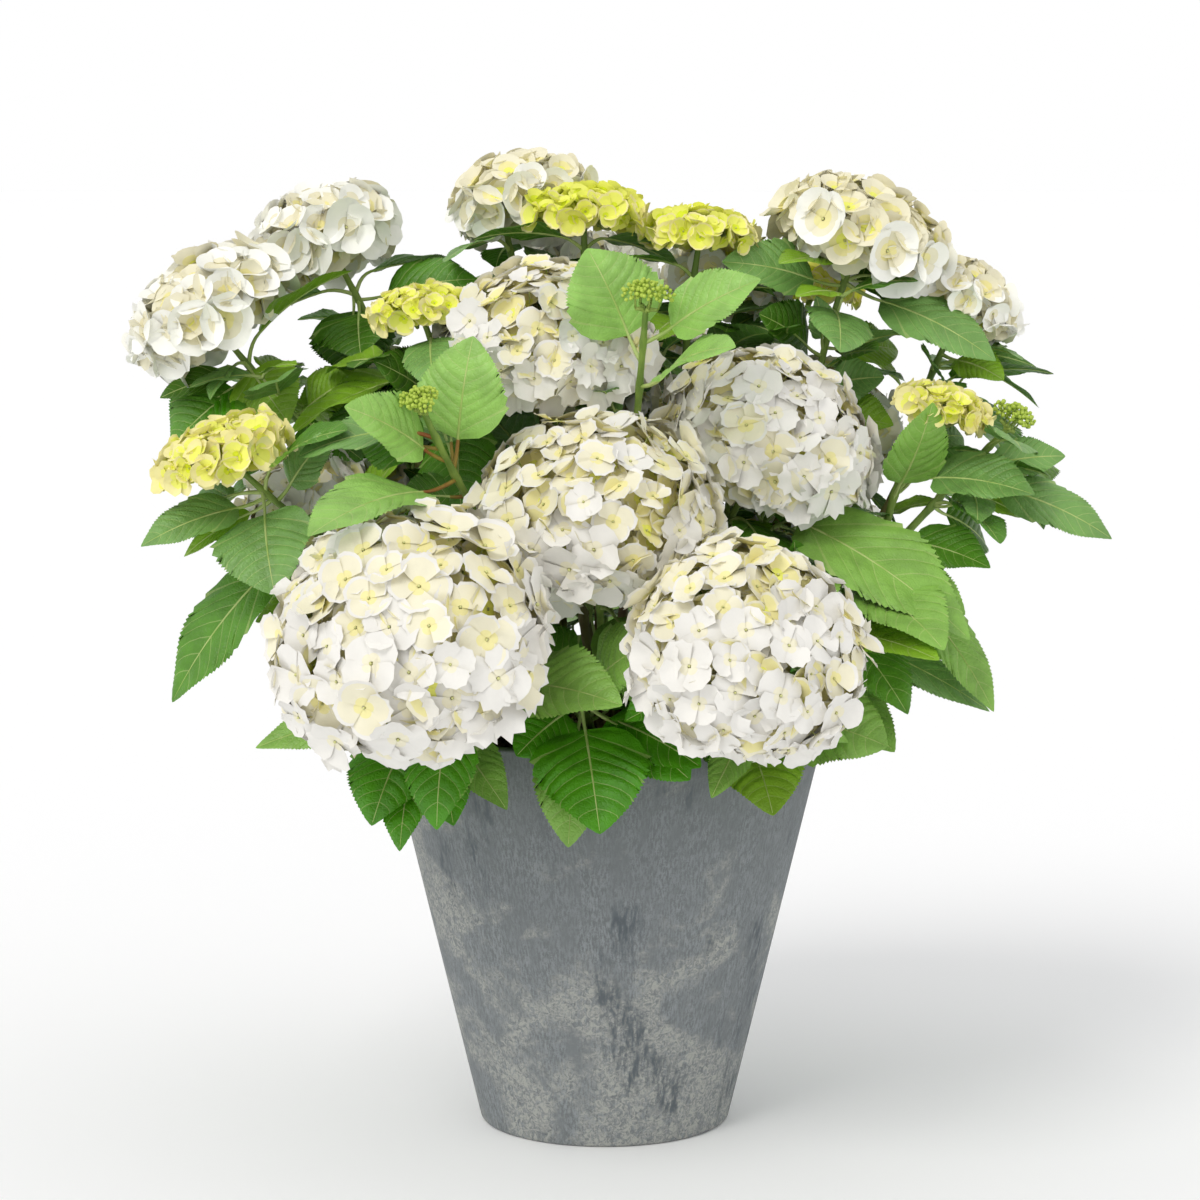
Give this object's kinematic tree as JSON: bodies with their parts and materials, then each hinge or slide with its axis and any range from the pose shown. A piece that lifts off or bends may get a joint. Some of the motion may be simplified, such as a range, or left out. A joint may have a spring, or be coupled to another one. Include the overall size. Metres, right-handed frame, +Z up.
{
  "type": "potted hydrangea shrub",
  "caption": "Mophead hydrangea shrub in flower, with domed cream heads and broad veined leaves, in a tapered round planter filled with soil.",
  "frame": {"origin": "centre of the planter's flat underside, which stands on the ground", "axes": "+Z up; the side seen from the front faces -Y; +X is to the viewer's right"},
  "size_m": [0.7981, 0.7041, 0.8021],
  "materials": {
    "pot": "matte",
    "soil": "matte",
    "bark": "matte",
    "stem": "matte",
    "leaf": "satin",
    "blossom": "matte"
  },
  "bodies": {
    "root": {"pot": "pot", "potting_soil": "soil", "crown_stem": "bark", "cane_back_low_1": "stem", "cane_back_low_2": "stem", "cane_back_low_3": "stem", "cane_back_middle_1": "stem", "cane_back_middle_2": "stem", "cane_back_middle_3": "stem", "cane_back_middle_4": "stem", "cane_back_top_1": "stem", "cane_bud_left": "stem", "cane_bud_top": "stem", "cane_front_left": "stem", "cane_front_middle": "stem", "cane_front_right": "stem", "cane_left_outer": "stem", "cane_left_side": "stem", "cane_left_top": "stem", "cane_right_outer": "stem", "cane_right_side": "stem", "cane_right_top": "stem", "cane_top": "stem", "cane_top_right": "stem", "cane_upper_left": "stem", "cane_upper_right": "stem", "shoot_back_leafy_1": "leaf", "shoot_back_leafy_2": "leaf", "shoot_back_leafy_3": "leaf", "shoot_back_leafy_4": "leaf", "shoot_back_low_1": "blossom", "shoot_back_low_2": "blossom", "shoot_back_low_3": "blossom", "shoot_back_middle_1": "blossom", "shoot_back_middle_2": "blossom", "shoot_back_middle_3": "blossom", "shoot_back_middle_4": "blossom", "shoot_back_top_1": "blossom", "shoot_bud_left": "blossom", "shoot_bud_top": "blossom", "shoot_front_left": "blossom", "shoot_front_low": "leaf", "shoot_front_low_left": "leaf", "shoot_front_low_right": "leaf", "shoot_front_middle": "blossom", "shoot_front_right": "blossom", "shoot_left_outer": "blossom", "shoot_left_side": "blossom", "shoot_left_top": "blossom", "shoot_right_leafy": "leaf", "shoot_right_outer": "blossom", "shoot_right_side": "blossom", "shoot_right_top": "blossom", "shoot_top": "blossom", "shoot_top_right": "blossom", "shoot_upper_left": "blossom", "shoot_upper_right": "blossom"}
  },
  "joints": []
}
